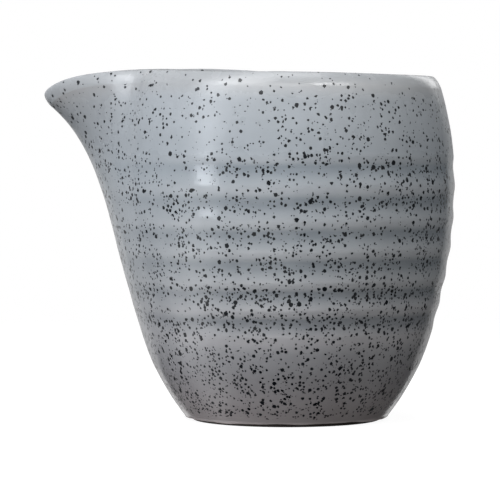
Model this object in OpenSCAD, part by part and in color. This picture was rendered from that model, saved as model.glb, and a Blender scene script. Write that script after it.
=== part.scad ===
// Glazed stoneware milk jug: a wheel-thrown round body with a pulled spout.
// Millimetres. +Z is up, the origin lies on the table under the body's axis,
// and the spout points along -X.
// The clay is one fired body; it is divided here at the places where a potter
// makes it: thrown wall, pulled spout, floor and turned foot ring. The glaze is
// a thin coat outside and over the lip, and a second coat that lines the inside.

/* [Body] */
// Height of the rim at the sides and back
rim_h = 87.5; // [84:0.1:91]
// Outside radius at the top of the wall
rim_r = 39.1; // [38:0.1:41]
// Outside radius at the fullest part of the belly
belly_r = 43.1; // [42:0.1:45]
// Height of the fullest part of the belly
belly_z = 60; // [56:1:64]
// Outside radius where the wall turns in to the foot
heel_r = 25.9; // [24.8:0.1:26.4]
// How far below the rim the lip starts to round over
lip_round = 3.4; // [2:0.1:4]

/* [Throwing rings] */
// Height of the lowest ridge
ring_z = 22.7; // [22.4:0.1:26]
// Distance from ridge to ridge
ring_pitch = 7.25; // [6.4:0.05:7.4]
// Number of grooves between the ridges
ring_count = 6; // [2:1:6]
// Depth of a groove
ring_depth = 0.32; // [0.1:0.02:0.6]
// How much nearer a groove lies to the ridge above it: 0 is midway
ring_skew = 0.03; // [0:0.01:0.2]

/* [Spout] */
// Half of the angle of wall that the spout is pulled from
spout_half = 80; // [70:1:85]
// Height where the pull starts
spout_z = 22; // [18:1:30]
// How far the whole front leans out at the lip
sweep = 6.5; // [4:0.1:9]
// How much further the pouring tongue reaches
tongue = 16.5; // [10:0.1:17]
// How far the lip rises beside the tongue
lip_rise = 3.25; // [0:0.05:4]
// How much higher the +Y shoulder of the spout stands than the -Y one
uneven = 3.4; // [0:0.1:4]
// How much the rim swells up on the +Y side behind that shoulder
far_rise = 1.6; // [0:0.1:2]
// How far the tip hangs below the rise
tip_droop = 7.75; // [4:0.05:9]
// Depth of the finger pinch on each side of the tongue
pinch = 2.6; // [0:0.1:3]

/* [Walls] */
// Thickness of the clay at the lip
lip_wall = 2.3; // [2:0.1:3]
// Thickness of the clay at the bottom of the wall
base_wall = 5; // [4:0.1:6]
// Height of the inside floor of the clay
floor_z = 6.2; // [5:0.1:8]
// Thickness of the glaze
glaze = 0.4; // [0.3:0.05:0.5]

/* [Foot] */
// Outside radius of the foot ring
foot_r = 24.1; // [22:0.1:24.4]
// Width of the foot ring
foot_w = 4; // [3:0.1:5]
// Height of the foot ring
foot_h = 0.8; // [0.6:0.1:2]
// How far the underside is hollowed above the foot ring
foot_hollow = 1.4; // [0:0.1:2]

/* [Hidden] */
$fn = 96;
clay_colour = "#5a5049";
foot_colour = "#3a3330";
glaze_colour = "#a3a9b0";
// The lip starts to round over at this height
lip_z = rim_h - lip_round;
// The outline ends and the pull is whole at this height, inside the lip
full_z = 0.983 * rim_h;
// The outline of the glazed wall, as [height, radius] stations on a smooth curve
outline = [
    [foot_h, heel_r],
    [0.031 * rim_h, 0.633 * belly_r],
    [0.065 * rim_h, 0.683 * belly_r],
    [0.112 * rim_h, 0.741 * belly_r],
    [0.171 * rim_h, 0.801 * belly_r],
    [0.245 * rim_h, 0.857 * belly_r],
    [0.340 * rim_h, 0.910 * belly_r],
    [0.500 * rim_h, 0.974 * belly_r],
    [belly_z, belly_r],
    [0.815 * rim_h, 0.982 * belly_r],
    [0.914 * rim_h, 0.944 * belly_r],
    [full_z, rim_r],
];
// How far the rim swells round the spout, as [angle, height] stations
rim_wave = [
    [-spout_half, 0],
    [20, 0],
    [40, 0.25 * far_rise],
    [55, far_rise],
    [68, 0.6 * far_rise],
    [spout_half, 0],
];
// How narrow the sweep and the tongue are, and how late each comes in the pull
sweep_narrow = 3.4;
tongue_narrow = 22;
sweep_late = 1.6;
tongue_late = 4.3;
lip_late = 4;
// Angle of each finger pinch from the middle of the spout, and its width
finger_angle = 27;
finger_width = 5;
// Width of the hanging tip, as an angle
droop_width = 8.7;
// How soft the ridges are (0 is sharp), and how the rings fade into the spout
ridge_soft = 0.62;
fade_share = 0.9;
fade_power = 1.2;
// The wall's thickness is square to the surface from this share of the pull up
square_from = 1 / 3;
// How quickly the wall thins from the bottom to the lip
thinning = 1.5;
// Steps from the middle of the spout to each side, closest at the tongue
side_steps = 14;
// Steps in each half turn of the lip
lip_steps = 8;
// Steps of height in one throwing ring
ring_steps = 5;
// Steps of height on the smooth collar above the rings
collar_steps = 8;
// Steps of height below the pull, and inside above it
low_steps = 8;
inside_steps = 14;
// Steps of the curve from the inside wall to the middle of the floor
bowl_steps = 12;
// How square the inside of the bowl is: 2 is round
bowl_square = 2.6;
// How closely rows and columns of points crowd together: 1 is even
low_crowd = 1.3;
inside_crowd = 1.4;
side_crowd = 1.4;

// Slope of the stations' curve at station i
function slope(p, i) =
    let (a = max(i - 1, 0), b = min(i + 1, len(p) - 1))
    (p[b][1] - p[a][1]) / (p[b][0] - p[a][0]);

// Number of the last station at or below height z
function station(p, z) = max([for (i = [0 : len(p) - 2]) if (i == 0 || z >= p[i][0]) i]);

// Radius at height z on the smooth curve through the stations
function curve(p, z) =
    let (
        i = station(p, z),
        h = p[i + 1][0] - p[i][0],
        t = (z - p[i][0]) / h,
        a = slope(p, i) * h,
        b = slope(p, i + 1) * h,
        d = p[i + 1][1] - p[i][1]
    )
    p[i][1] + t * (a + t * (3 * d - 2 * a - b + t * (a + b - 2 * d)));

// A hump that is 1 in the middle of the spout and 0 where the spout starts;
// a higher power makes it narrower
function hump(phi, power) = pow(max(0, cos(90 * phi / spout_half)), power);

// How far up the pull a height is: 0 where it starts, 1 at the lip
function pull(z) = max(0, (z - spout_z) / (full_z - spout_z));

// The two finger pinches beside the tongue
function finger(phi) = exp(-pow((abs(phi) - finger_angle) / finger_width, 2)) * hump(phi, 1);

// Outward reach of the spout, and how far it lifts the wall
function reach(phi, z) =
    sweep * pow(pull(z), sweep_late) * hump(phi, sweep_narrow)
    + tongue * pow(pull(z), tongue_late) * hump(phi, tongue_narrow)
    - pinch * pow(pull(z), lip_late) * finger(phi);
function lean(phi) =
    lip_rise + uneven * phi / spout_half - tip_droop / (1 + pow(phi / droop_width, 2));
function lift(phi, z) =
    pow(pull(z), lip_late) * (hump(phi, 1) * lean(phi) + curve(rim_wave, phi));

// Depth of the throwing rings: finger grooves between rounded ridges,
// fading out towards the spout
function groove(phi, z) =
    let (
        phase = (z - ring_z) / ring_pitch,
        skewed = phase - ring_skew * pow(sin(180 * phase), 2),
        scallop = sqrt(pow(sin(180 * skewed), 2) + pow(ridge_soft, 2)) - ridge_soft,
        full = sqrt(1 + pow(ridge_soft, 2)) - ridge_soft
    )
    phase <= 0 || phase >= ring_count
        ? 0
        : ring_depth * scallop / full * (1 - fade_share * hump(phi, fade_power));

// A point of the outer surface without its rings. phi is measured from -X.
function smooth_point(phi, z) =
    let (r = curve(outline, z) + reach(phi, z))
    [-r * cos(phi), r * sin(phi), z + lift(phi, z)];

// Direction of a wall's thickness: square to the surface on the spout and the
// collar, and level at the seam below the pull
function outward(phi, z) =
    let (
        e = 0.02,
        across = smooth_point(phi + e, z) - smooth_point(phi - e, z),
        up = smooth_point(phi, z + e) - smooth_point(phi, z - e),
        n = cross(up, across),
        m = [n.x, n.y, n.z * min(1, pull(z) / square_from)]
    )
    m / norm(m);

// A point at some depth under the outer surface
function under(phi, z, depth) = smooth_point(phi, z) - depth * outward(phi, z);

// Thickness of the clay and both coats
function wall(z) =
    2 * glaze + lip_wall + (base_wall - lip_wall) * pow(1 - z / lip_z, thinning);

// The four skins of the wall: the glazed outside, the clay's outside,
// the clay's inside and the glazed inside
function outside(phi, z) = under(phi, z, groove(phi, z));
function clay_outside(phi, z) = under(phi, z, groove(phi, z) + glaze);
function clay_inside(phi, z) = under(phi, z, wall(z) - glaze);
function inside(phi, z) = under(phi, z, wall(z));

// Heights of the rows of points outside and inside, above the seam
ring_top = ring_z + ring_count * ring_pitch;
low_rows = [for (i = [0 : low_steps - 1]) foot_h + (spout_z - foot_h) * pow(i / low_steps, low_crowd)];
ring_rows = [for (i = [0 : ring_count * ring_steps - 1]) ring_z + i * ring_pitch / ring_steps];
collar_rows = [for (i = [0 : collar_steps]) ring_top + (lip_z - ring_top) * i / collar_steps];
outer_rows = concat([spout_z], ring_rows, collar_rows);
inner_rows = [
    for (i = [inside_steps : -1 : 0])
        spout_z + (lip_z - spout_z) * (1 - pow(1 - i / inside_steps, inside_crowd))
];
spout_columns = [
    for (i = [-side_steps : side_steps])
        spout_half * sign(i) * pow(abs(i) / side_steps, side_crowd)
];

function unit(v) = v / norm(v);

// Upward direction of the lip, midway between the two sides of the wall
function lip_up(phi) =
    let (below = lip_z - 1)
    unit(unit(clay_outside(phi, lip_z) - clay_outside(phi, below))
        + unit(clay_inside(phi, lip_z) - clay_inside(phi, below)));

// The rounded lip from an outer to an inner point, both ends left out; its
// crest stands at the rim's height, or coat lower
function lip(phi, from, to, coat) =
    let (
        up = lip_up(phi),
        middle = (from + to) / 2,
        height = (rim_h + lift(phi, lip_z) - middle.z) / up.z - coat
    )
    [
        for (i = [1 : lip_steps - 1])
            let (a = 180 * i / lip_steps)
            middle + (from - to) / 2 * cos(a) + up * height * sin(a)
    ];
function clay_lip(phi) = lip(phi, clay_outside(phi, lip_z), clay_inside(phi, lip_z), glaze);
function glaze_lip(phi) = lip(phi, outside(phi, lip_z), inside(phi, lip_z), 0);

function reversed(list) = [for (i = [len(list) - 1 : -1 : 0]) list[i]];

// Closed loops of points round one upright section of each layer
function clay_section(phi) = concat(
    [for (z = outer_rows) clay_outside(phi, z)],
    clay_lip(phi),
    [for (z = inner_rows) clay_inside(phi, z)]
);
function outer_glaze_section(phi) = concat(
    [for (z = concat(low_rows, outer_rows)) outside(phi, z)],
    glaze_lip(phi),
    [inside(phi, lip_z), clay_inside(phi, lip_z)],
    reversed(clay_lip(phi)),
    [for (z = reversed(concat(low_rows, outer_rows))) clay_outside(phi, z)]
);
function inner_glaze_section(phi) = concat(
    [for (z = reversed(inner_rows)) clay_inside(phi, z)],
    [for (z = inner_rows) inside(phi, z)]
);

// The same sections as flat [radius, height] outlines, for turning
function flat(loop) = [for (p = loop) [norm([p.x, p.y]), p.z]];

// The inside bowl below the seam, from the wall to the middle of the floor;
// coat is the thickness of glaze that lies on the clay
function bowl(coat) = [
    for (i = [0 : bowl_steps])
        let (
            a = 90 * i / bowl_steps,
            down = pow(sin(a), 2 / bowl_square),
            z = spout_z + (floor_z + coat - spout_z) * down,
            r = curve(outline, z) - wall(z) + glaze - coat
        )
        [r * pow(cos(a), 2 / bowl_square), z]
];

// A solid swept round the spout through one closed section per column
module spout_sweep(sections) {
    columns = len(sections);
    count = len(sections[0]);
    points = [for (s = sections) each s];
    sides = [
        for (c = [0 : columns - 2], i = [0 : count - 1])
            let (
                j = (i + 1) % count,
                a = c * count + i,
                b = c * count + j,
                d = a + count,
                e = b + count
            )
            each [[a, b, e], [a, e, d]]
    ];
    first = [for (i = [count - 1 : -1 : 0]) i];
    last = [for (i = [0 : count - 1]) (columns - 1) * count + i];
    polyhedron(points = points, faces = concat(sides, [first, last]), convexity = 8);
}

// The round part of a layer, turned everywhere but at the spout
module turned_wall(loop) {
    rotate_extrude(angle = 360 - 2 * spout_half, start = 180 + spout_half)
        polygon(flat(loop));
}

module clay_wall() {
    color(clay_colour) {
        turned_wall(clay_section(spout_half));
        rotate_extrude()
            polygon(concat(
                flat([for (z = concat(low_rows, [spout_z])) clay_outside(spout_half, z)]),
                [for (p = bowl(0)) if (p.x > foot_r - foot_w) p],
                [[foot_r - foot_w, foot_h]]
            ));
    }
}

module spout() {
    color(clay_colour)
        spout_sweep([for (phi = spout_columns) clay_section(phi)]);
}

module clay_floor() {
    color(clay_colour)
        rotate_extrude()
            polygon(concat(
                [[0, foot_h + foot_hollow], [foot_r - foot_w, foot_h]],
                [for (p = bowl(0)) if (p.x <= foot_r - foot_w) p]
            ));
}

module foot_ring() {
    color(foot_colour)
        rotate_extrude()
            polygon([
                [foot_r - foot_w, 0],
                [foot_r, 0],
                [foot_r, foot_h],
                [foot_r - foot_w, foot_h],
            ]);
}

module outer_glaze() {
    color(glaze_colour)
        turned_wall(outer_glaze_section(spout_half));
}

module spout_glaze() {
    color(glaze_colour)
        spout_sweep([for (phi = spout_columns) outer_glaze_section(phi)]);
}

module inner_glaze() {
    color(glaze_colour) {
        turned_wall(inner_glaze_section(spout_half));
        rotate_extrude()
            polygon(concat(bowl(0), reversed(bowl(glaze))));
    }
}

module spout_lining() {
    color(glaze_colour)
        spout_sweep([for (phi = spout_columns) inner_glaze_section(phi)]);
}

clay_wall();
spout();
clay_floor();
foot_ring();
outer_glaze();
spout_glaze();
inner_glaze();
spout_lining();
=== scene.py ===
"""Looks of a small speckled stoneware milk jug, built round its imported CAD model.

The jug's own sizes are in millimetres and are turned into metres by MM; the lamps'
places and sizes and the floor's are in metres. The jug stands on z = 0 with its axis on
the Z axis and its spout towards -X. Angles round the jug are in degrees, measured from
the middle of the spout (-X) towards +Y.
"""

import math

import bmesh
import bpy
import numpy as np
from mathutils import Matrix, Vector


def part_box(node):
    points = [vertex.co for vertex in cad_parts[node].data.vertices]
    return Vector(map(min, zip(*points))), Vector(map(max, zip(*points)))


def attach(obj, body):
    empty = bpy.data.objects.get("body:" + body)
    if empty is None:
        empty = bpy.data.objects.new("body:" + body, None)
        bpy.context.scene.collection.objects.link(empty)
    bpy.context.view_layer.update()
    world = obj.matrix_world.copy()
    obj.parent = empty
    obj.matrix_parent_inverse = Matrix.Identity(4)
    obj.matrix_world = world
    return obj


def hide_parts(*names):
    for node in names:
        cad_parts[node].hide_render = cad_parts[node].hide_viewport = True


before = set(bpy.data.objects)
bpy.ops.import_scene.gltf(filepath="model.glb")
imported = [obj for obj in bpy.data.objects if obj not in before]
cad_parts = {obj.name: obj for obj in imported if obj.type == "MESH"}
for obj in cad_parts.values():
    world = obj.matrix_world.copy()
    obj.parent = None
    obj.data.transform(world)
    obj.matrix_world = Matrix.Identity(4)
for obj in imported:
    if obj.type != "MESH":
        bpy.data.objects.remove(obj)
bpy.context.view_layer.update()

MM = 0.001

# ---------------------------------------------------------------- sizes
# The CAD nodes give the sizes; what they do not hold is named here.
wall_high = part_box("outer_glaze")[1]
foot_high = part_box("foot_ring")[1]
floor_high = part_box("clay_floor")[1]

RIM_Z = 87.5
BELLY_R = wall_high[1] / MM
FOOT_R = foot_high[0] / MM
FOOT_Z = foot_high[2] / MM
FOOT_INNER_R = floor_high[0] / MM

RIM_R = 39.1
BELLY_Z = 60.0
HEEL_R = 25.9
LIP_ROUND = 3.4
LIP_Z = RIM_Z - LIP_ROUND
PULL_TOP = 86.0
GLAZE = 0.4
LIP_CLAY = 2.3
BASE_CLAY = 5.0
WALL_TAPER = 1.5
FLOOR_Z = 6.2
SPOUT_Z = 22.0
SPOUT_HALF = 80.0
SWEEP = 6.5
TONGUE = 16.5
PINCH = 2.6
FINGER_ANGLE = 27.0
FINGER_WIDTH = 5.0
LIP_RISE = 3.25
UNEVEN = 3.4
TIP_DROOP = 7.75
DROOP_WIDTH = 8.7

# Powers of the pull: the higher, the nearer to the lip a swell of the spout starts
SWEEP_START = 1.6
TONGUE_START = 4.3
LIP_START = 4

# Powers of the hump: the higher, the narrower a swell is round the jug
SWEEP_NARROW = 3.4
TONGUE_NARROW = 22

# Heights of the ridges of the throwing rings, from the lowest up. The grooves lie
# between them. The top one is TOP_DEEPER times as deep as the others, and this sets in
# over the first TOP_BLEND mm above the ridge under it.
RIDGES = np.array([22.7, 29.7, 36.4, 44.0, 51.4, 59.6, 67.4])
RING_DEPTH = 0.32
RING_SOFT = 0.62
TOP_DEEPER = 1.2
TOP_BLEND = 3.0

# How far each groove leans up towards the next ridge, as a share of a ring
RING_SKEWS = [0.0, 0.0, 0.0, 0.0, -0.05, 0.09]

# How much of the rings is lost on the spout, and how narrow that stretch is
RINGS_LOST = 0.9
LOST_NARROW = 1.2

# Unsteadiness of the potter's hand: (size, waves round the jug, start in radians)
RING_WANDER = [(0.16, 1, 0.6), (0.10, 2, -1.1), (0.07, 5, 2.3)]
RING_PRESSURE = [(0.08, 3, 0.4), (0.06, 7, -0.9)]
EDGE_WAVES = [(0.10, 3, 1.0), (0.07, 8, 0.0), (0.05, 17, 2.0)]

# Bands of pale and dark glaze along the rings, partly thin and pooled glaze and partly painted highlight on
# the ridges and painted shade in the grooves: their lean and turn, how far they run past the end ridges, and
# their strength by height
POOL_SHADE_SKEW = 0.17
POOL_SHADE_TURN = 0.74
POOL_SHADE_BELOW = 4.0
POOL_SHADE_ABOVE = 1.0
POOL_SHADE_FADE = 3.0
POOL_SHADE_HEIGHTS = (25.0, 55.0)
POOL_SHADE_STRENGTHS = (1.42, 1.06)

# The glazed wall's outline: (height, radius)
OUTLINE = np.array([
    (FOOT_Z, HEEL_R),
    (2.7, 27.3),
    (5.7, 29.4),
    (9.9, 31.9),
    (15.0, 34.5),
    (21.6, 36.9),
    (29.9, 39.2),
    (44.0, 41.98),
    (BELLY_Z, BELLY_R),
    (71.3, 42.32),
    (80.0, 40.7),
    (PULL_TOP, RIM_R),
])

# How far the hand-made rim stands off level, round the jug: (angle, height). On the
# +Y side it stands up to 3.1 mm above the CAD's rim.
RIM_WAVE = np.array([
    (-210.0, 0.9),
    (-180.0, 0.2),
    (-135.0, -0.25),
    (-90.0, 0.05),
    (-45.0, 0.2),
    (0.0, 0.0),
    (40.0, 0.35),
    (60.0, 1.8),
    (85.0, 3.5),
    (115.0, 2.4),
    (150.0, 0.9),
    (180.0, 0.2),
    (225.0, -0.25),
])

# How full the lip's outer half is at its shoulder and its crest; the inner half is
# round
LIP_SHOULDER = 0.3
LIP_CREST = 0.6
ROUND = 0.55

# The inside: how square its bowl is, and the finger spiral that throwing left
BOWL_SQUARE = 2.6
INSIDE_PITCH = 8.5
INSIDE_DEPTH = 0.16
INSIDE_FADE = 6.0
SWIRL_START = 3.0

# The underside: its hollow and the fine marks of turning
FOOT_HOLLOW = 1.4
HOLLOW_FLAT = 0.6
BASE_MARK_DEPTH = 0.06
BASE_MARK_PITCH = 1.9
FOOT_MARK_DEPTH = 0.05
FOOT_MARK_PITCH = 0.8
FOOT_WORN = 0.35

# The glaze coat's lower edge and the rounded bead along it
EDGE_Z = 0.8
BEAD = 0.3

# Where the front of the lip is lightened by a painted highlight: its middle and width in degrees, and how
# much it fades with each row of points over the lip
BRIM_ANGLE = -105.0
BRIM_WIDTH = 38.0
BRIM_FADE = 0.25

# Powers that bound the painted shade on the tongue, round the jug and upward
TONGUE_MARK_NARROW = 8
TONGUE_MARK_START = 2

# How soon the wall's direction turns square to the leaning spout
TURN_RATE = 3

# How finely the pieces are built
COLUMNS = 320
OUTER_STEPS = 230
HIDDEN_STEPS = 90
INNER_STEPS = 80
BOWL_STEPS = 40
LIP_STEPS = 10
EDGE_STEPS = 6
BASE_STEPS = 90
UNDER_STEPS = 12
FOOT_STEPS = 26
WORN_STEPS = 7
COLUMN_CROWDING = 2.2

# Angles of the columns, closest together at the pouring tip
spread = np.linspace(-1.0, 1.0, COLUMNS, endpoint=False)
ANGLES = 180.0 * (0.5 * spread + 0.5 * np.sign(spread) * np.abs(spread) ** COLUMN_CROWDING)


# ---------------------------------------------------------------- shape
def smooth_curve(stations, x):
    """Value at x on a smooth curve through (x, value) stations."""
    xs = stations[:, 0]
    ys = stations[:, 1]
    slopes = np.empty_like(ys)
    slopes[0] = (ys[1] - ys[0]) / (xs[1] - xs[0])
    slopes[-1] = (ys[-1] - ys[-2]) / (xs[-1] - xs[-2])
    slopes[1:-1] = (ys[2:] - ys[:-2]) / (xs[2:] - xs[:-2])
    i = np.clip(np.searchsorted(xs, x, side="right") - 1, 0, len(xs) - 2)
    h = xs[i + 1] - xs[i]
    t = (x - xs[i]) / h
    a = slopes[i] * h
    b = slopes[i + 1] * h
    d = ys[i + 1] - ys[i]
    return ys[i] + t * (a + t * (3 * d - 2 * a - b + t * (a + b - 2 * d)))


def hump(angle, power):
    """1 in the middle of the spout, 0 where the spout starts."""
    c = np.cos(np.radians(90.0 * angle / SPOUT_HALF))
    inside = np.abs(angle) < SPOUT_HALF
    return np.where(inside, np.maximum(c, 0.0), 0.0) ** power


def pull(z):
    """How far up the pull a height is: 0 where it starts, 1 at the lip."""
    return np.maximum(0.0, (z - SPOUT_Z) / (PULL_TOP - SPOUT_Z))


def reach(angle, z):
    """How far the spout stands out from the round body."""
    finger = np.exp(-(((np.abs(angle) - FINGER_ANGLE) / FINGER_WIDTH) ** 2)) * hump(angle, 1)
    return (
        SWEEP * pull(z) ** SWEEP_START * hump(angle, SWEEP_NARROW)
        + TONGUE * pull(z) ** TONGUE_START * hump(angle, TONGUE_NARROW)
        - PINCH * pull(z) ** LIP_START * finger
    )


def lift(angle, z):
    """How far the lip rises, and the wall under it with it."""
    lean = LIP_RISE + UNEVEN * angle / SPOUT_HALF - TIP_DROOP / (1 + (angle / DROOP_WIDTH) ** 2)
    return pull(z) ** LIP_START * (hump(angle, 1) * lean + smooth_curve(RIM_WAVE, angle))


def waves(angle, parts):
    """Sum of sine waves round the jug, each (size, waves round the jug, start)."""
    a = np.radians(angle)
    return sum(size * np.sin(count * a + start) for size, count, start in parts)


def ring_phase(angle, z):
    """Counts ridges upward: whole numbers on ridges, halves in grooves."""
    return np.interp(z + waves(angle, RING_WANDER), RIDGES, np.arange(len(RIDGES)))


def ring_fade(angle):
    """Strength of the rings round the jug: about 1, and weak on the spout."""
    return (1 + waves(angle, RING_PRESSURE)) * (1 - RINGS_LOST * hump(angle, LOST_NARROW))


def skewed(phase, skew):
    """The phase, with the middle of each groove moved up by skew of a ring."""
    return phase - skew * np.sin(np.pi * phase) ** 2


def scallop(phase):
    """Cross-section of the rings: 0 on the ridges, 1 in the middle of a groove."""
    skew = np.interp(phase, np.arange(len(RING_SKEWS)) + 0.5, RING_SKEWS)
    s = np.sqrt(np.sin(np.pi * skewed(phase, skew)) ** 2 + RING_SOFT**2) - RING_SOFT
    return s / (math.sqrt(1 + RING_SOFT**2) - RING_SOFT)


def pool_and_ring_shade(angle, z):
    """Below 0 where the glaze is thin and pale, above 0 where it has gathered; the bands also hold painted
    highlight on the ridges and painted shade in the grooves.
    """
    q = skewed(ring_phase(angle, z), POOL_SHADE_SKEW)
    start = np.clip((z - RIDGES[0] + POOL_SHADE_BELOW) / POOL_SHADE_FADE, 0, 1)
    end = np.clip((RIDGES[-1] + POOL_SHADE_ABOVE - z) / POOL_SHADE_FADE, 0, 1)
    strength = start * end * np.interp(z, POOL_SHADE_HEIGHTS, POOL_SHADE_STRENGTHS)
    return -np.cos(2 * np.pi * q + POOL_SHADE_TURN) * ring_fade(angle) * strength


def groove(angle, z):
    """Depth of the rings."""
    depth = RING_DEPTH * np.interp(z, (RIDGES[-2], RIDGES[-2] + TOP_BLEND), (1.0, TOP_DEEPER))
    return depth * scallop(ring_phase(angle, z)) * ring_fade(angle)


def smooth_point(angle, z):
    """A point of the glazed outside, as it would be without rings."""
    r = smooth_curve(OUTLINE, z) + reach(angle, z)
    a = np.radians(angle)
    return np.stack([-r * np.cos(a), r * np.sin(a), z + lift(angle, z)], axis=-1)


def outward(angle, z):
    """Direction across the wall: level below the pull, square to it above."""
    e = 0.02
    across = smooth_point(angle + e, z) - smooth_point(angle - e, z)
    up = smooth_point(angle, z + e) - smooth_point(angle, z - e)
    n = np.cross(up, across)
    n[..., 2] *= np.minimum(1.0, TURN_RATE * pull(z))
    return n / np.linalg.norm(n, axis=-1, keepdims=True)


def under(angle, z, depth):
    """A point that deep under the glazed outside."""
    depth = np.broadcast_to(depth, angle.shape)[..., None]
    return smooth_point(angle, z) - depth * outward(angle, z)


def wall(z):
    """Thickness of the clay with both coats of glaze."""
    return 2 * GLAZE + LIP_CLAY + (BASE_CLAY - LIP_CLAY) * (1 - z / LIP_Z) ** WALL_TAPER


def throwing(angle, z):
    """Faint spiral left by the potter's fingers on the inside."""
    turns = z / INSIDE_PITCH + angle / 360.0
    fade = np.minimum(1.0, (LIP_Z - z) / INSIDE_FADE)
    return INSIDE_DEPTH * (0.5 - 0.5 * np.cos(2 * np.pi * turns)) * fade


OUTER, OUTER_CLAY, INNER_CLAY, INNER = range(4)


def skin(angle, z, layer):
    """One of the four skins of the wall, from the outside in."""
    z = np.broadcast_to(np.asarray(z, dtype=float), angle.shape)
    if layer == OUTER:
        depth = groove(angle, z)
    elif layer == OUTER_CLAY:
        depth = groove(angle, z) + GLAZE
    elif layer == INNER_CLAY:
        depth = wall(z) - GLAZE
    else:
        depth = wall(z) - throwing(angle, z)
    return under(angle, z, depth)


def unit(v):
    return v / np.linalg.norm(v, axis=-1, keepdims=True)


def bezier(points, t):
    """The place at t, from 0 to 1, along a cubic curve."""
    a, b, c, d = (np.array(p) for p in points)
    u = 1 - t
    return u**3 * a + 3 * u**2 * t * b + 3 * u * t**2 * c + t**3 * d


def lip(outer_layer, inner_layer, clay, steps):
    """The lip over two skins, both ends left out; it crests at RIM_Z plus the lift,
    or clay less for the clay under the glaze."""
    outside = ((1.0, 0.0), (1.0, LIP_SHOULDER), (LIP_CREST, 1.0), (0.0, 1.0))
    inside = ((0.0, 1.0), (-ROUND, 1.0), (-1.0, ROUND), (-1.0, 0.0))
    start = skin(ANGLES, LIP_Z, outer_layer)
    end = skin(ANGLES, LIP_Z, inner_layer)
    below = LIP_Z - 1.0
    up = unit(
        unit(skin(ANGLES, LIP_Z, OUTER_CLAY) - skin(ANGLES, below, OUTER_CLAY))
        + unit(skin(ANGLES, LIP_Z, INNER_CLAY) - skin(ANGLES, below, INNER_CLAY))
    )
    middle = (start[:, 2] + end[:, 2]) / 2
    height = ((RIM_Z + lift(ANGLES, LIP_Z) - middle) / up[:, 2] - clay)[:, None]
    rows = []
    for i in range(1, 2 * steps):
        t = i / steps
        x, y = bezier(outside, t) if t <= 1 else bezier(inside, t - 1)
        rows.append((start + end) / 2 + (start - end) / 2 * x + up * height * y)
    return rows


def circle(r, z):
    """A ring of points (mm) round the axis."""
    a = np.radians(ANGLES)
    r = np.broadcast_to(np.asarray(r, dtype=float), ANGLES.shape)
    z = np.broadcast_to(np.asarray(z, dtype=float), ANGLES.shape)
    return np.stack([-r * np.cos(a), r * np.sin(a), z], axis=-1)


def bowl(coat, steps):
    """The inside below the pull as (radius, height), from the wall to the middle."""
    rows = []
    for a in np.linspace(0.0, math.pi / 2, steps + 1)[1:-1]:
        z = SPOUT_Z + (FLOOR_Z + coat - SPOUT_Z) * math.sin(a) ** (2 / BOWL_SQUARE)
        r = float(smooth_curve(OUTLINE, np.array(z))) - wall(z) + GLAZE - coat
        rows.append((r * math.cos(a) ** (2 / BOWL_SQUARE), z))
    return rows


# ---------------------------------------------------------------- meshes
def shell(name, rings, poles=None, marks=None):
    """A closed mesh through rings of points (mm) that all have the same columns.

    With poles = (first, last) each end closes on a point; without, the last ring
    joins the first. marks are named values, one row per ring, for materials.
    """
    n = len(ANGLES)
    count = len(rings)
    verts = np.concatenate(rings) * MM
    faces = []
    for i in range(count if poles is None else count - 1):
        a = i * n
        b = ((i + 1) % count) * n
        faces += [(a + j, a + (j + 1) % n, b + (j + 1) % n, b + j) for j in range(n)]
    if poles is not None:
        first = len(verts)
        last = (count - 1) * n
        verts = np.concatenate([verts, np.array(poles) * MM])
        faces += [(first, (j + 1) % n, j) for j in range(n)]
        faces += [(first + 1, last + j, last + (j + 1) % n) for j in range(n)]
    mesh = bpy.data.meshes.new(name)
    mesh.from_pydata(verts.tolist(), [], faces)
    for mark, rows in (marks or {}).items():
        values = np.zeros(len(verts), dtype=np.float32)
        values[: count * n] = np.concatenate([np.broadcast_to(row, (n,)) for row in rows])
        mesh.attributes.new(mark, "FLOAT", "POINT").data.foreach_set("value", values)
    bm = bmesh.new()
    bm.from_mesh(mesh)
    bmesh.ops.recalc_face_normals(bm, faces=bm.faces)
    bm.to_mesh(mesh)
    bm.free()
    mesh.shade_smooth()
    mesh.set_sharp_from_angle(angle=math.radians(50))
    piece = bpy.data.objects.new(name, mesh)
    bpy.context.scene.collection.objects.link(piece)
    return piece


outer_rows = np.linspace(EDGE_Z + BEAD, LIP_Z, OUTER_STEPS)
hidden_rows = np.linspace(EDGE_Z + BEAD, LIP_Z, HIDDEN_STEPS)
inner_rows = np.linspace(SPOUT_Z, LIP_Z, INNER_STEPS)


def glaze_bead():
    """The coat's lower edge: slightly wavy and rounded, from the clay outward."""
    top = skin(ANGLES, outer_rows[0], OUTER)
    back = skin(ANGLES, outer_rows[0], OUTER_CLAY)
    wave = waves(ANGLES, EDGE_WAVES)
    rows = []
    for i in range(1, EDGE_STEPS):
        a = math.pi * i / EDGE_STEPS
        p = (back + top) / 2 + (back - top) / 2 * math.cos(a)
        p[:, 2] -= (BEAD - wave) * math.sin(a)
        rows.append(p)
    return rows


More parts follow.
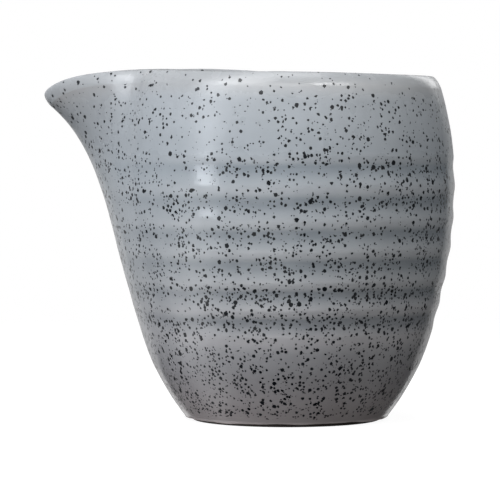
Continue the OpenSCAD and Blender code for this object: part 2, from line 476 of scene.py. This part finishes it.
def build_coat():
    """The outside coat of glaze, over the lip and down to just above the foot."""
    outer = [skin(ANGLES, z, OUTER) for z in outer_rows]
    lip_outer = lip(OUTER, INNER, 0.0, LIP_STEPS)
    lip_clay = lip(OUTER_CLAY, INNER_CLAY, GLAZE, LIP_STEPS)
    butt = [skin(ANGLES, LIP_Z, INNER), skin(ANGLES, LIP_Z, INNER_CLAY)]
    hidden = [skin(ANGLES, z, OUTER_CLAY) for z in hidden_rows[::-1]]
    rings = outer + lip_outer + butt + lip_clay[::-1] + hidden + glaze_bead()
    grooves = [scallop(ring_phase(ANGLES, z)) * ring_fade(ANGLES) for z in outer_rows]
    phases = [ring_phase(ANGLES, z) % 1.0 for z in outer_rows]
    # Bands of pooled glaze and painted ring shade, for the material
    pool_shades = [pool_and_ring_shade(ANGLES, z) for z in outer_rows]
    rest = len(rings) - len(outer)
    near = [max(0.0, 1 - (LIP_Z - z) / LIP_ROUND) for z in outer_rows]
    # Where the painted highlight on the front of the lip lies; the glaze is also glossier there
    brim_highlight = np.exp(-(((ANGLES - BRIM_ANGLE) / BRIM_WIDTH) ** 2))
    brims = [brim_highlight * n for n in near]
    brims += [brim_highlight * max(0.0, 1 - BRIM_FADE * i) for i in range(rest)]
    tongues = [hump(ANGLES, TONGUE_MARK_NARROW) * pull(z) ** TONGUE_MARK_START for z in outer_rows]
    marks = {
        "groove": grooves + [0.0] * rest,
        "phase": phases + [0.0] * rest,
        "pool_shade": pool_shades + [0.0] * rest,
        "lip": near + [1.0] * rest,
        "brim": brims,
        "tongue": tongues + [0.0] * rest,
    }
    return shell("glaze_coat", rings, marks=marks)


def build_lining():
    """The coat of glaze inside, from the lip down over the floor."""
    floor = []
    for r, z in bowl(GLAZE, BOWL_STEPS):
        level = min(1.0, (SPOUT_Z - z) / (SPOUT_Z - FLOOR_Z))
        swirl = 0.5 - 0.5 * np.cos(2 * np.pi * (r / INSIDE_PITCH + ANGLES / 360.0))
        swirl = INSIDE_DEPTH * level**3 * min(1.0, r / SWIRL_START) * swirl
        floor.append(circle(r + throwing(ANGLES, z) * (1 - level), z + swirl))
    seen = floor[::-1] + [skin(ANGLES, z, INNER) for z in inner_rows]
    hidden = [skin(ANGLES, z, INNER_CLAY) for z in inner_rows[::-1]]
    clay = [circle(r, z) for r, z in bowl(0.0, BOWL_STEPS)]
    poles = ((0.0, 0.0, FLOOR_Z + GLAZE), (0.0, 0.0, FLOOR_Z))
    return shell("glaze_lining", seen + hidden + clay, poles)


def build_body():
    """The clay wall with its spout, hidden under the glaze but for the heel."""
    clay_rows = np.linspace(FOOT_Z, LIP_Z, HIDDEN_STEPS)
    outer = [skin(ANGLES, z, OUTER_CLAY) for z in clay_rows]
    lip_clay = lip(OUTER_CLAY, INNER_CLAY, GLAZE, LIP_STEPS)
    inner = [skin(ANGLES, z, INNER_CLAY) for z in inner_rows[::-1]]
    floor = [circle(r, z) for r, z in bowl(0.0, BOWL_STEPS) if r > FOOT_INNER_R]
    heel = np.linspace(FOOT_INNER_R, HEEL_R - GLAZE, UNDER_STEPS)
    under_side = [circle(r, FOOT_Z) for r in heel[:-1]]
    return shell("fired_body", outer + lip_clay + inner + floor + under_side)


def build_base():
    """The floor of the jug, with the hollow that was turned underneath."""
    top = [circle(r, z) for r, z in bowl(0.0, BOWL_STEPS) if r <= FOOT_INNER_R]
    below = []
    for r in np.linspace(FOOT_INNER_R, 0.0, BASE_STEPS)[:-1]:
        dish = FOOT_HOLLOW * math.cos(math.pi / 2 * r / FOOT_INNER_R) ** HOLLOW_FLAT
        turned = ANGLES / 360.0 + r / BASE_MARK_PITCH
        mark = BASE_MARK_DEPTH * (0.5 + 0.5 * np.cos(2 * np.pi * turned)) * min(1.0, FOOT_INNER_R - r)
        below.append(circle(r, FOOT_Z + dish - mark))
    poles = ((0.0, 0.0, FLOOR_Z), (0.0, 0.0, FOOT_Z + FOOT_HOLLOW))
    return shell("hollowed_base", top[::-1] + below, poles)


def build_foot():
    """The foot ring, with worn edges and fine turning marks on its face."""
    loop = []
    worn = FOOT_WORN
    for a in np.linspace(0.0, math.pi / 2, WORN_STEPS):
        loop.append((FOOT_R - worn + worn * math.cos(a), worn - worn * math.sin(a)))
    for r in np.linspace(FOOT_R - worn, FOOT_INNER_R + worn, FOOT_STEPS)[1:-1]:
        turned = math.cos(2 * math.pi * r / FOOT_MARK_PITCH)
        loop.append((r, FOOT_MARK_DEPTH * (0.5 - 0.5 * turned)))
    for a in np.linspace(0.0, math.pi / 2, WORN_STEPS):
        loop.append((FOOT_INNER_R + worn - worn * math.sin(a), worn - worn * math.cos(a)))
    loop.append((FOOT_INNER_R, FOOT_Z))
    loop.append((FOOT_R, FOOT_Z))
    return shell("turned_foot", [circle(r, z) for r, z in loop])


coat = build_coat()
lining = build_lining()
body = build_body()
base = build_base()
foot = build_foot()


# ---------------------------------------------------------------- materials
def add(tree, kind, values=None, **settings):
    """A new node; values are its inputs, each a number or another node's output."""
    made = tree.nodes.new(kind)
    for key, value in settings.items():
        setattr(made, key, value)
    for key, value in (values or {}).items():
        if isinstance(value, bpy.types.NodeSocket):
            tree.links.new(value, made.inputs[key])
        else:
            made.inputs[key].default_value = value
    return made


def calc(tree, operation, a, b=0.0):
    return add(tree, "ShaderNodeMath", {0: a, 1: b}, operation=operation).outputs[0]


def vector(tree, operation, a, b):
    return add(tree, "ShaderNodeVectorMath", {0: a, 1: b}, operation=operation).outputs[0]


def remap(tree, value, low, high, to_low=0.0, to_high=1.0, smooth=False):
    kind = "SMOOTHSTEP" if smooth else "LINEAR"
    values = {"Value": value, "From Min": low, "From Max": high}
    values.update({"To Min": to_low, "To Max": to_high})
    return add(tree, "ShaderNodeMapRange", values, interpolation_type=kind).outputs[0]


def noise(tree, where, size_mm, detail=2.0, stretch=1.0):
    """Noise from 0 to 1 with blobs of that size; stretch makes them taller."""
    k = 1.0 / (size_mm * MM)
    at = vector(tree, "MULTIPLY", where, (k, k, k / stretch))
    values = {"Vector": at, "Scale": 1.0, "Detail": detail, "Roughness": 0.5}
    return add(tree, "ShaderNodeTexNoise", values).outputs[0]


def mix(tree, factor, a, b, blend="MIX"):
    node = add(tree, "ShaderNodeMix", data_type="RGBA", blend_type=blend)
    for socket, value in zip((node.inputs[0], node.inputs[6], node.inputs[7]), (factor, a, b)):
        if isinstance(value, bpy.types.NodeSocket):
            tree.links.new(value, socket)
        else:
            socket.default_value = value
    return node.outputs[2]


def ramp(tree, value, stops):
    node = add(tree, "ShaderNodeValToRGB", {"Fac": value})
    while len(node.color_ramp.elements) < len(stops):
        node.color_ramp.elements.new(0.5)
    for element, (place, colour) in zip(node.color_ramp.elements, stops):
        element.position = place
        element.color = (*colour, 1.0)
    return node.outputs[0]


def specks(tree, where, cell, small, large, chance, stretch=1.0):
    """Mask of round specks: cell is their spacing, small and large their radii, in
    mm, and chance the share of cells that hold one."""
    k = 1.0 / (cell * MM)
    at = vector(tree, "MULTIPLY", where, (k, k, k / stretch))
    cells = add(tree, "ShaderNodeTexVoronoi", {"Vector": at, "Scale": 1.0})
    lot = add(tree, "ShaderNodeSeparateColor", {"Color": cells.outputs["Color"]})
    size = calc(tree, "POWER", lot.outputs[1], 2.0)
    radius = remap(tree, size, 0.0, 1.0, small / cell, large / cell)
    rim = calc(tree, "ADD", radius, SPECK_SOFT / cell)
    dot = remap(tree, cells.outputs["Distance"], radius, rim, 1.0, 0.0, smooth=True)
    return calc(tree, "MULTIPLY", dot, calc(tree, "LESS_THAN", lot.outputs[0], chance))


def mark(tree, name):
    """A named value of the mesh, as shell() stores it."""
    return add(tree, "ShaderNodeAttribute", attribute_name=name).outputs["Fac"]


def glaze_colour(tree, where, level, marked):
    """Bluer at the top; warmer, and lighter as painted light from below, at the foot; pale on the ridges and
    dark in the grooves, partly thin and pooled glaze and partly painted highlight and shade; painted shade
    on the tongue and a painted highlight on the front of the lip.
    """
    cloud = noise(tree, where, size_mm=22.0, detail=3.0)
    mottle = noise(tree, where, size_mm=3.0, detail=3.0)
    broad = remap(tree, cloud, *NOISE_SPREAD, 1.0 - CLOUDY, 1.0 + CLOUDY)
    shade = calc(tree, "ADD", broad, remap(tree, mottle, *NOISE_SPREAD, -MOTTLED, MOTTLED))
    # The colour ramp is lightened at the foot as painted light from below
    base = mix(tree, 1.0, ramp(tree, level, GLAZE_COLOURS_AND_FOOT_LIGHT), shade, "MULTIPLY")
    if not marked:
        return base
    pool_shade = mark(tree, "pool_shade")
    # Pale on the ridges and dark in the grooves: partly thin and pooled glaze, partly painted highlight and
    # shade
    channels = {i: remap(tree, pool_shade, -1.0, 1.0, *ends) for i, ends in enumerate(POOL_SHADE_TINTS)}
    pool_shade_tint = add(tree, "ShaderNodeCombineColor", channels).outputs[0]
    base = mix(tree, 1.0, base, pool_shade_tint, "MULTIPLY")
    # Painted shade on the overhanging tongue of the spout
    tongue_shade = mix(tree, mark(tree, "tongue"), WHITE, TONGUE_PAINTED_SHADE)
    base = mix(tree, 1.0, base, tongue_shade, "MULTIPLY")
    # The lip tint is the lip's own warmer colour; the brim tint is a painted highlight on the front of the
    # lip
    for name, tint in (("lip", LIP_TINT), ("brim", LIP_FRONT_HIGHLIGHT)):
        base = mix(tree, mark(tree, name), base, mix(tree, 1.0, base, tint, "MULTIPLY"))
    return base


def speck_crowd(tree, where, height, level, amount, marked):
    """How many specks there are: more low down, in the grooves and in loose
    clusters, fewer on the lip and none beside the foot."""
    cluster = noise(tree, where, size_mm=4.5, detail=2.0)
    crowd = remap(tree, level, *CROWD_BY_HEIGHT)
    crowd = calc(tree, "MAXIMUM", crowd, remap(tree, level, *CROWD_NEAR_FOOT))
    crowd = calc(tree, "MULTIPLY", crowd, remap(tree, cluster, *CROWD_IN_CLUSTERS))
    if marked:
        for name, ends in (("groove", CROWD_IN_GROOVES), ("lip", CROWD_ON_LIP)):
            share = remap(tree, mark(tree, name), 0.0, 1.0, *ends)
            crowd = calc(tree, "MULTIPLY", crowd, share)
    clear = remap(tree, height, *((FOOT_Z + gap) * MM for gap in CLEAR_OVER_FOOT), 0.0, 1.0)
    return calc(tree, "MULTIPLY", crowd, calc(tree, "MULTIPLY", clear, amount))


def speck_mask(tree, where, crowd, marked):
    """Where the dark specks are, with their outlines made ragged."""
    warp = add(tree, "ShaderNodeTexNoise", {"Vector": where, "Scale": 1 / (RAGGED_SIZE * MM), "Detail": 1.0})
    moved = vector(tree, "SUBTRACT", warp.outputs["Color"], (0.5, 0.5, 0.5))
    moved = vector(tree, "MULTIPLY", moved, (SPECK_RAGGED * MM,) * 3)
    spot = vector(tree, "ADD", where, moved)
    dark = 0.0
    for cell, small, large, share, stretch in SPECK_SIZES:
        dots = specks(tree, spot, cell, small, large, calc(tree, "MULTIPLY", crowd, share), stretch)
        dark = calc(tree, "MAXIMUM", dark, dots)
    if marked:
        # Specks run down over the lower edge of each ridge
        away = calc(tree, "SUBTRACT", mark(tree, "phase"), RUN_PHASE)
        run = remap(tree, calc(tree, "ABSOLUTE", away), 0.0, RUN_WIDTH, 1.0, 0.0)
        run = calc(tree, "MULTIPLY", run, calc(tree, "MULTIPLY", crowd, RUN_SHARE))
        streaks = specks(tree, spot, *RUN_SIZE[:3], run, RUN_SIZE[3])
        dark = calc(tree, "MAXIMUM", dark, calc(tree, "MULTIPLY", streaks, RUN_DARK))
    return dark


def glaze_gloss(tree, where, height, dark, marked):
    """Roughness: satin, duller on the specks, glossier below the collar, on the tongue
    and on the lip."""
    patches = noise(tree, where, size_mm=6.0, detail=4.0)
    gloss = remap(tree, patches, *NOISE_SPREAD, *ROUGH_ENDS)
    gloss = calc(tree, "ADD", gloss, calc(tree, "MULTIPLY", dark, SPECK_DULL))
    if marked:
        low, high = (z * MM for z in COLLAR_STARTS)
        gloss = calc(tree, "SUBTRACT", gloss, remap(tree, height, low, high, LOWER_GLOSS, 0.0))
        for name, amount in MARK_GLOSS:
            gloss = calc(tree, "SUBTRACT", gloss, calc(tree, "MULTIPLY", mark(tree, name), amount))
    return gloss


def bump(tree, relief, depth_mm):
    """The surface direction on a relief of that depth."""
    values = {"Height": relief, "Strength": 1.0, "Distance": depth_mm * MM}
    return add(tree, "ShaderNodeBump", values).outputs[0]


def glaze_relief(tree, where, dark):
    """Orange peel, fine turning lines and a dip at each speck."""
    peel = calc(tree, "MULTIPLY", noise(tree, where, size_mm=1.6, detail=2.0), PEEL)
    lines = noise(tree, where, size_mm=0.9, detail=3.0, stretch=0.22)
    relief = calc(tree, "ADD", peel, calc(tree, "MULTIPLY", lines, TURNED))
    relief = calc(tree, "SUBTRACT", relief, calc(tree, "MULTIPLY", dark, SPECK_DIP))
    return bump(tree, relief, GLAZE_RELIEF)


def glaze_material(name, marked, amount):
    """Satin blue-grey glaze with iron specks; marked pieces carry ring marks."""
    material = bpy.data.materials.new(name)
    material.use_nodes = True
    tree = material.node_tree
    shader = tree.nodes["Principled BSDF"]
    where = add(tree, "ShaderNodeTexCoord").outputs["Object"]
    height = add(tree, "ShaderNodeSeparateXYZ", {0: where}).outputs[2]
    level = calc(tree, "DIVIDE", height, RIM_Z * MM)
    base = glaze_colour(tree, where, level, marked)
    crowd = speck_crowd(tree, where, height, level, amount, marked)
    dark = speck_mask(tree, where, crowd, marked)
    colour = mix(tree, dark, base, (*SPECK_COLOUR, 1.0))
    tree.links.new(colour, shader.inputs["Base Color"])
    gloss = glaze_gloss(tree, where, height, dark, marked)
    tree.links.new(gloss, shader.inputs["Roughness"])
    tree.links.new(glaze_relief(tree, where, dark), shader.inputs["Normal"])
    shader.inputs["IOR"].default_value = 1.5
    return material


def clay_material(name, colour):
    """Bare fired stoneware: matt, sandy, with fine pale grains."""
    material = bpy.data.materials.new(name)
    material.use_nodes = True
    tree = material.node_tree
    shader = tree.nodes["Principled BSDF"]
    where = add(tree, "ShaderNodeTexCoord").outputs["Object"]
    sand = noise(tree, where, size_mm=0.6, detail=4.0)
    cloud = noise(tree, where, size_mm=9.0, detail=3.0)
    grainy = remap(tree, sand, 0.25, 0.75, 0.75, 1.25)
    shade = calc(tree, "MULTIPLY", grainy, remap(tree, cloud, *NOISE_SPREAD, 0.85, 1.15))
    base = mix(tree, 1.0, (*colour, 1.0), shade, "MULTIPLY")
    grains = specks(tree, where, 0.9, 0.08, 0.22, 0.4)
    pale = (*[min(1.0, PALE_GRAIN * c) for c in colour], 1.0)
    base = mix(tree, calc(tree, "MULTIPLY", grains, 0.5), base, pale)
    tree.links.new(base, shader.inputs["Base Color"])
    tree.links.new(remap(tree, sand, *NOISE_SPREAD, *CLAY_ROUGH), shader.inputs["Roughness"])
    relief = calc(tree, "ADD", sand, calc(tree, "MULTIPLY", grains, 0.5))
    tree.links.new(bump(tree, relief, CLAY_RELIEF), shader.inputs["Normal"])
    return material


# Glaze colours from the foot up to the rim, lighter at the foot as painted light from below, and the iron
# specks
GLAZE_COLOURS_AND_FOOT_LIGHT = [
    (0.00, (0.445, 0.400, 0.397)),
    (0.06, (0.430, 0.397, 0.400)),
    (0.12, (0.380, 0.364, 0.374)),
    (0.17, (0.368, 0.362, 0.375)),
    (0.25, (0.395, 0.395, 0.410)),
    (0.45, (0.390, 0.410, 0.430)),
    (0.75, (0.378, 0.410, 0.440)),
    (1.00, (0.388, 0.412, 0.437)),
]
SPECK_COLOUR = (0.005, 0.007, 0.010)
ROUGH = 0.3
STONEWARE = (0.055, 0.045, 0.040)
PALE_GRAIN = 2.4
CLAY_ROUGH = (0.72, 0.88)
WHITE = (1.0, 1.0, 1.0, 1.0)

# What the glaze's colour is multiplied by: red, green and blue as (thin, pooled), partly thin and pooled
# glaze and partly painted highlight and shade of the rings, then the painted shade on the tongue, the lip's
# own tint and the painted highlight on the front of the lip
POOL_SHADE_TINTS = [(1.27, 0.77), (1.25, 0.80), (1.24, 0.82)]
TONGUE_PAINTED_SHADE = (0.87, 0.84, 0.82, 1.0)
LIP_TINT = (1.02, 0.99, 0.965, 1.0)
LIP_FRONT_HIGHLIGHT = (1.16, 1.14, 1.12, 1.0)

# Roughness of the glaze from patch to patch, what a speck adds, and what comes off it
# below the collar, which starts between two heights in mm, and on the marked places
ROUGH_ENDS = (ROUGH - 0.04, ROUGH + 0.05)
SPECK_DULL = 0.12
COLLAR_STARTS = (64.0, 69.0)
LOWER_GLOSS = 0.13
MARK_GLOSS = (("tongue", 0.05), ("lip", 0.04), ("brim", 0.10))

# Relief of the glaze: shares of orange peel, turning lines and the dips at specks, and
# the depth in mm; then the depth of the bare clay's grain in mm
PEEL = 0.6
TURNED = 0.25
SPECK_DIP = 0.55
GLAZE_RELIEF = 0.05
CLAY_RELIEF = 0.06

# The stretch that noise values mostly fill, and how much broad clouds and fine mottle
# change the glaze's brightness
NOISE_SPREAD = (0.3, 0.7)
CLOUDY = 0.05
MOTTLED = 0.02

# Specks in mm: (spacing, smallest and largest radius, share of the crowd, stretch)
SPECK_SIZES = [
    (0.62, 0.12, 0.22, 0.12, 1.0),
    (0.9, 0.22, 0.39, 0.345, 1.15),
    (1.7, 0.36, 0.56, 0.24, 1.1),
]
SPECK_SOFT = 0.07
SPECK_RAGGED = 0.45
RAGGED_SIZE = 0.5

# Crowding of the specks, from one height to another as shares of the rim's height (or
# from thin to full cluster noise), and the crowding at the two
CROWD_BY_HEIGHT = (0.0, 1.0, 1.78, 0.74)
CROWD_NEAR_FOOT = (0.0, 0.6, 2.6, 0.3)
CROWD_IN_CLUSTERS = (0.35, 0.65, 0.35, 1.7)

# The same on a ridge and in a groove, and below the lip and on it
CROWD_IN_GROOVES = (0.8, 1.36)
CROWD_ON_LIP = (1.0, 0.45)

# Specks set in between these heights over the foot, in mm
CLEAR_OVER_FOOT = (1.2, 2.8)

# Specks drawn out into streaks: (spacing, smallest and largest radius, stretch), and
# where on a ring they lie
RUN_SIZE = (1.3, 0.17, 0.27, 2.8)
RUN_PHASE = 0.80
RUN_WIDTH = 0.14
RUN_SHARE = 0.8
RUN_DARK = 0.8

outer_glaze = glaze_material("speckled_glaze", True, 1.0)
liner_glaze = glaze_material("liner_glaze", False, 0.6)
stoneware = clay_material("stoneware", STONEWARE)
for piece, material, slot, nodes in (
    (coat, outer_glaze, "outer_glaze", ("outer_glaze", "spout_glaze")),
    (lining, liner_glaze, "liner_glaze", ("inner_glaze", "spout_lining")),
    (body, stoneware, "clay", ("clay_wall", "spout")),
    (base, stoneware, "clay", ("clay_floor",)),
    (foot, stoneware, "bare_foot", ("foot_ring",)),
):
    piece.data.materials.append(material)
    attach(piece, "root")
    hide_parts(*nodes)


# ---------------------------------------------------------------- stage
AIM = Vector((-9.35 * MM, 0.0, 43.3 * MM))
LAMP_TARGET = Vector((0.0, 0.0, 50.0 * MM))
CAMERA_DISTANCE = 670.0
CAMERA_HEIGHT = 62.0
CAMERA_LENS = 188.1
FLOOR_RADIUS = 0.6
FLOOR_GREY = 0.2
FLOOR_GLOW = 0.93
FLOOR_FADE = (0.12, 0.5)


def toward(place, target):
    """The turn that points a lamp or camera from place to target."""
    return (Vector(target) - Vector(place)).to_track_quat("-Z", "Y").to_euler()


def soft_box(name, azimuth, elevation, distance, width, height, watts, colour=(1.0, 1.0, 1.0)):
    """An area light aimed at the jug; azimuth is from the camera, + to its right."""
    a = math.radians(azimuth)
    e = math.radians(elevation)
    spot = Vector((math.sin(a) * math.cos(e), -math.cos(a) * math.cos(e), math.sin(e))) * distance
    spot += LAMP_TARGET
    light = bpy.data.lights.new(name, "AREA")
    light.shape = "RECTANGLE"
    light.size = width
    light.size_y = height
    light.energy = watts
    light.color = colour
    lamp = bpy.data.objects.new(name, light)
    lamp.location = spot
    lamp.rotation_euler = toward(spot, LAMP_TARGET)
    lamp.visible_camera = False
    bpy.context.scene.collection.objects.link(lamp)


# name, azimuth, elevation, distance, width, height, watts and, if not white, colour
SOFT_BOXES = [
    ("key", -53.0, 24.0, 0.9, 0.2, 0.82, 3.06, (0.94, 0.98, 1.04)),
    ("key_narrow", -55.0, 12.0, 0.9, 0.12, 0.22, 0.15, (0.9, 0.97, 1.08)),
    ("key_wide", -38.0, 48.0, 0.9, 0.4, 0.5, 3.25),
    ("lip_front", -5.0, 38.0, 0.9, 0.5, 0.12, 0.66),
    ("lip_right", 36.0, 42.0, 0.9, 0.4, 0.12, 1.3),
    ("overhead", 0.0, 72.0, 0.9, 0.6, 0.3, 1.65),
    ("top", 0.0, 88.0, 0.9, 0.5, 0.5, 1.624),
    ("front", -5.0, 22.0, 0.9, 0.5, 0.4, 0.176),
    ("right", 30.0, 28.0, 0.9, 0.5, 0.5, 0.44),
    ("right_far", 62.0, 25.0, 0.9, 0.5, 0.6, 0.457),
    ("low_left", -60.0, -15.0, 0.9, 0.5, 0.4, 0.56),
    ("low_front", -15.0, -20.0, 0.9, 0.6, 0.4, 0.654),
    ("low_right", 50.0, -15.0, 0.9, 0.6, 0.4, 0.29),
    ("side_right", 95.0, 10.0, 0.9, 0.5, 0.7, 0.058),
    ("back_left", -130.0, 8.0, 0.9, 0.5, 0.9, 0.603),
    ("behind_left", -158.0, 8.0, 0.9, 0.5, 0.9, 0.915),
    ("behind_right", 158.0, 8.0, 0.9, 0.5, 0.9, 0.732),
    ("behind_low", 180.0, -30.0, 0.9, 0.8, 0.4, 0.897),
    ("under_left", -90.0, -40.0, 0.9, 0.5, 0.5, 0.54),
    ("under_right", 90.0, -40.0, 0.9, 0.5, 0.5, 0.129),
    ("floor_left", -72.0, -22.0, 0.26, 0.16, 0.12, 0.045),
    ("rim_right", 146.0, 26.0, 0.9, 0.25, 0.4, 0.7),
]
SKY = 0.03
SKY_COLOUR = (0.95, 0.98, 1.0, 1.0)
GROUND = 0.0
HORIZON = (-0.15, 0.25)
for box_values in SOFT_BOXES:
    soft_box(*box_values)

world = bpy.data.worlds.new("studio")
bpy.context.scene.world = world
world.use_nodes = True
tree = world.node_tree
tree.nodes.clear()
look = add(tree, "ShaderNodeTexCoord").outputs["Generated"]
rise = add(tree, "ShaderNodeSeparateXYZ", {0: look}).outputs[2]
room = remap(tree, rise, *HORIZON, GROUND, SKY, smooth=True)
seen = add(tree, "ShaderNodeLightPath").outputs["Is Camera Ray"]
light_room = add(tree, "ShaderNodeBackground", {"Color": SKY_COLOUR, "Strength": room})
white = add(tree, "ShaderNodeBackground", {"Color": WHITE, "Strength": 1.0})
both = add(tree, "ShaderNodeMixShader", {0: seen, 1: light_room.outputs[0], 2: white.outputs[0]})
add(tree, "ShaderNodeOutputWorld", {"Surface": both.outputs[0]})


def build_floor():
    """A round pale floor that fades into the white background."""
    rings = 24
    sides = 96
    verts = [(0.0, 0.0, 0.0)]
    for i in range(1, rings + 1):
        for j in range(sides):
            a = 2 * math.pi * j / sides
            r = FLOOR_RADIUS * i / rings
            verts.append((r * math.cos(a), r * math.sin(a), 0.0))
    faces = [(0, 1 + j, 1 + (j + 1) % sides) for j in range(sides)]
    for i in range(rings - 1):
        a = 1 + i * sides
        b = a + sides
        faces += [(a + j, b + j, b + (j + 1) % sides, a + (j + 1) % sides) for j in range(sides)]
    mesh = bpy.data.meshes.new("floor")
    mesh.from_pydata(verts, [], faces)
    floor = bpy.data.objects.new("floor", mesh)
    bpy.context.scene.collection.objects.link(floor)
    material = bpy.data.materials.new("pale_floor")
    material.use_nodes = True
    tree = material.node_tree
    tree.nodes.clear()
    where = add(tree, "ShaderNodeTexCoord").outputs["Object"]
    far = add(tree, "ShaderNodeVectorMath", {0: where}, operation="LENGTH").outputs["Value"]
    matt = add(tree, "ShaderNodeBsdfDiffuse", {"Color": (FLOOR_GREY,) * 3 + (1.0,)})
    pale = add(tree, "ShaderNodeEmission", {"Color": WHITE, "Strength": FLOOR_GLOW})
    both = add(tree, "ShaderNodeAddShader", {0: matt.outputs[0], 1: pale.outputs[0]})
    clear = add(tree, "ShaderNodeBsdfTransparent")
    fade = remap(tree, far, *FLOOR_FADE, smooth=True)
    shown = add(tree, "ShaderNodeMixShader", {0: fade, 1: both.outputs[0], 2: clear.outputs[0]})
    add(tree, "ShaderNodeOutputMaterial", {"Surface": shown.outputs[0]})
    mesh.materials.append(material)
    floor.visible_diffuse = False
    floor.visible_glossy = False
    floor.visible_shadow = False


build_floor()

camera_data = bpy.data.cameras.new("camera")
camera_data.sensor_width = 36.0
camera_data.lens = CAMERA_LENS
camera = bpy.data.objects.new("camera", camera_data)
camera.location = (AIM.x, -CAMERA_DISTANCE * MM, CAMERA_HEIGHT * MM)
camera.rotation_euler = toward(camera.location, AIM)
bpy.context.scene.collection.objects.link(camera)
bpy.context.scene.camera = camera
bpy.context.scene.view_settings.view_transform = "Standard"
